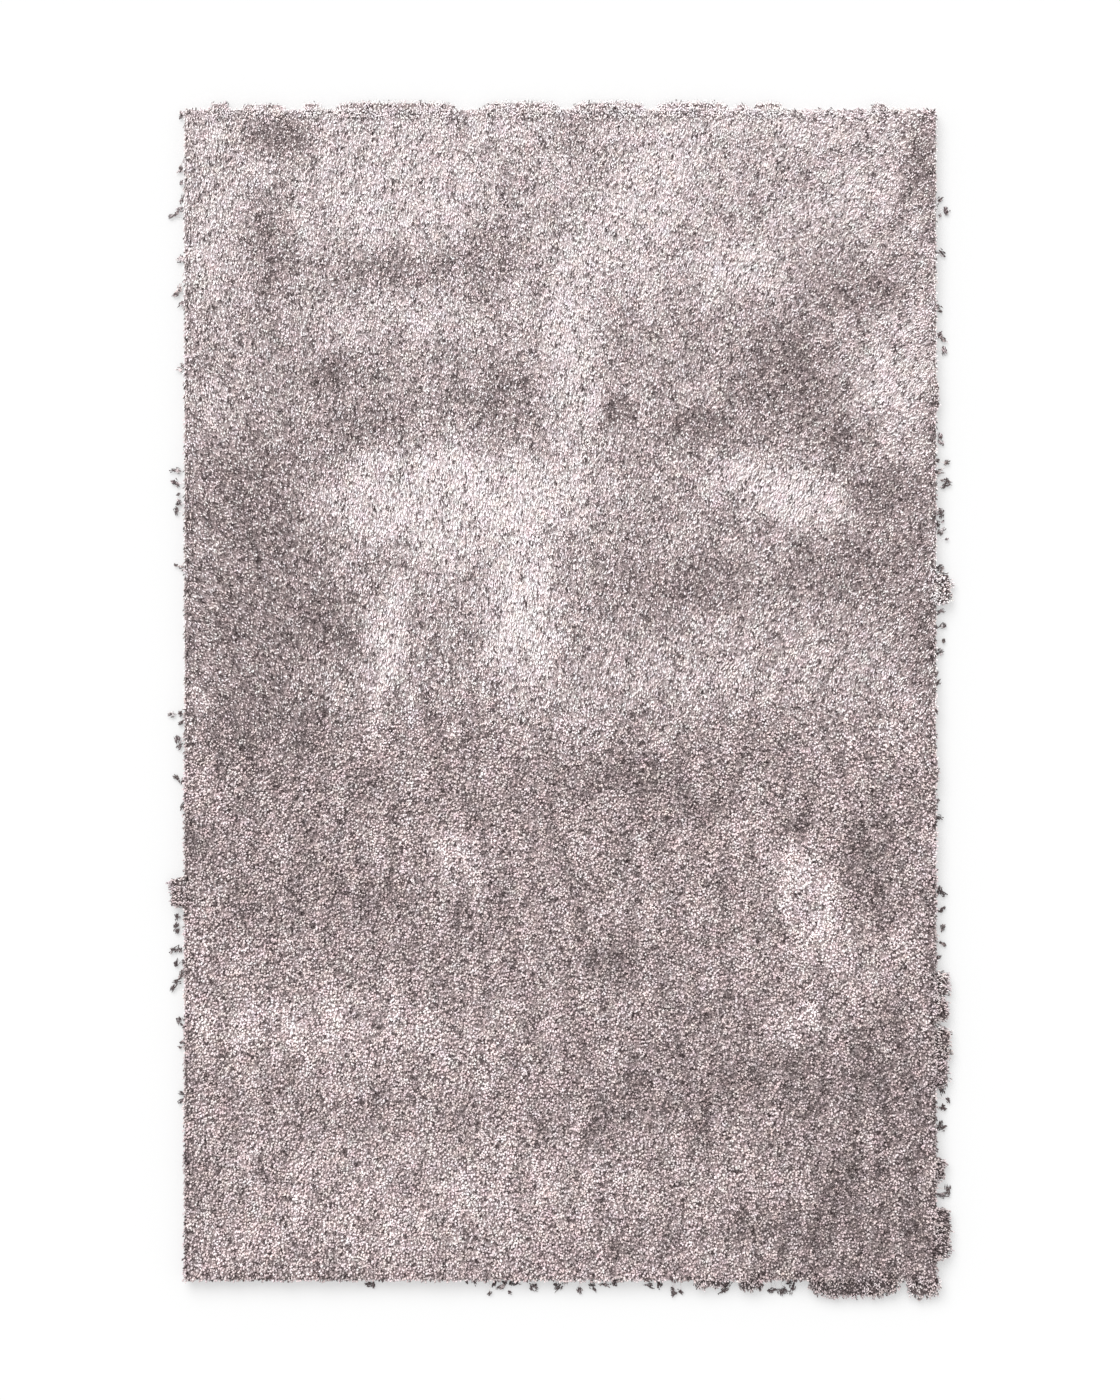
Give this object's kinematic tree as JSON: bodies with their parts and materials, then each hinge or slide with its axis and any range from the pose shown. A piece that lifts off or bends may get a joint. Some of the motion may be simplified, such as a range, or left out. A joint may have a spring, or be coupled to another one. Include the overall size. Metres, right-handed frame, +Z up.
{
  "type": "shag rug",
  "caption": "Flat rectangular shag rug with dense, brushed pile on a straight-cut ground cloth and uneven locks of yarn lying past its edges.",
  "frame": {"origin": "on the floor, under the middle of the rug's outline, its locks included", "axes": "+Z up from the floor through the pile, +Y along the rug towards the picture's top, +X across it towards the picture's right"},
  "size_m": [1.5962, 2.4352, 0.035],
  "materials": {
    "pile": "matte",
    "ground_cloth": "matte"
  },
  "bodies": {
    "root": {"rug": "pile"}
  },
  "joints": []
}
